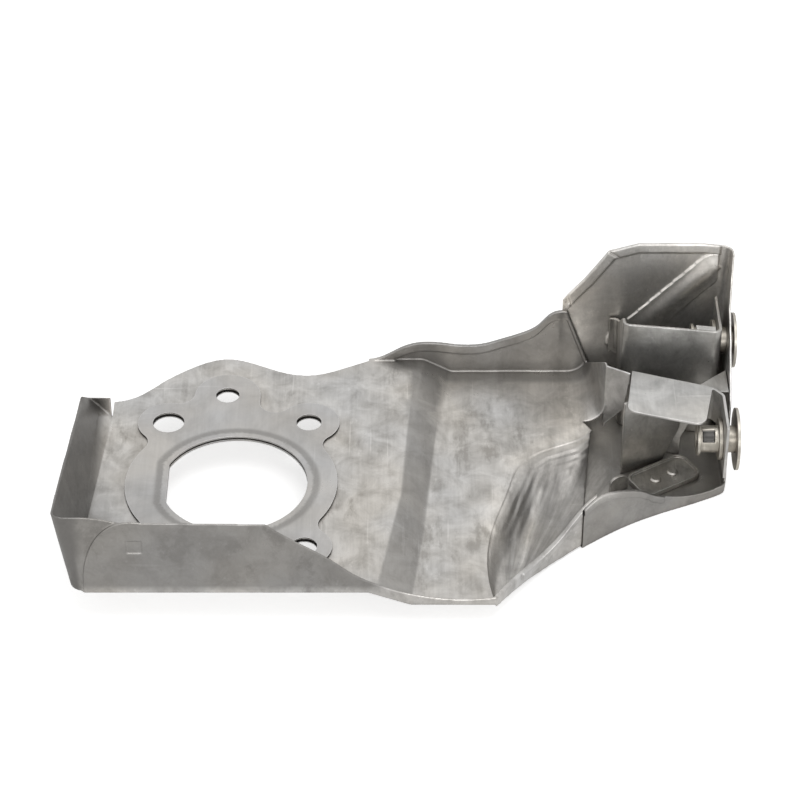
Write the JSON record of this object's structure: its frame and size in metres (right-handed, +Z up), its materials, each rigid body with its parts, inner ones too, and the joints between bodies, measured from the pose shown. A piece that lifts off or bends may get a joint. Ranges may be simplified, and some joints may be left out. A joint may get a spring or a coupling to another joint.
{
  "type": "exhaust heat shield",
  "caption": "Pressed steel exhaust heat shield with flange gasket, D-shaped outlet and a boxed end with two bolt sleeves.",
  "frame": {"origin": "centre of the outlet opening, on the upper face of the floor sheet", "axes": "+Z up out of the floor sheet, +X towards the boxed end, +Y towards the back wall"},
  "size_m": [0.2553, 0.1388, 0.0716],
  "materials": {
    "shield_steel": "satin",
    "gasket_steel": "satin",
    "bracket_steel": "satin",
    "plated_steel": "gloss"
  },
  "bodies": {
    "root": {"shield_panel": "shield_steel", "end_shell": "shield_steel", "gasket_upper_layer": "gasket_steel", "gasket_lower_layer": "gasket_steel", "rear_bracket": "bracket_steel", "front_bracket": "bracket_steel", "support_plate": "bracket_steel", "gusset": "bracket_steel", "locating_tab": "plated_steel", "corner_tab": "bracket_steel", "doubler_plate": "bracket_steel", "doubler_rivets": "plated_steel", "front_sleeve": "plated_steel", "rear_sleeve": "plated_steel", "front_washer": "plated_steel", "rear_washer": "plated_steel"}
  },
  "joints": []
}
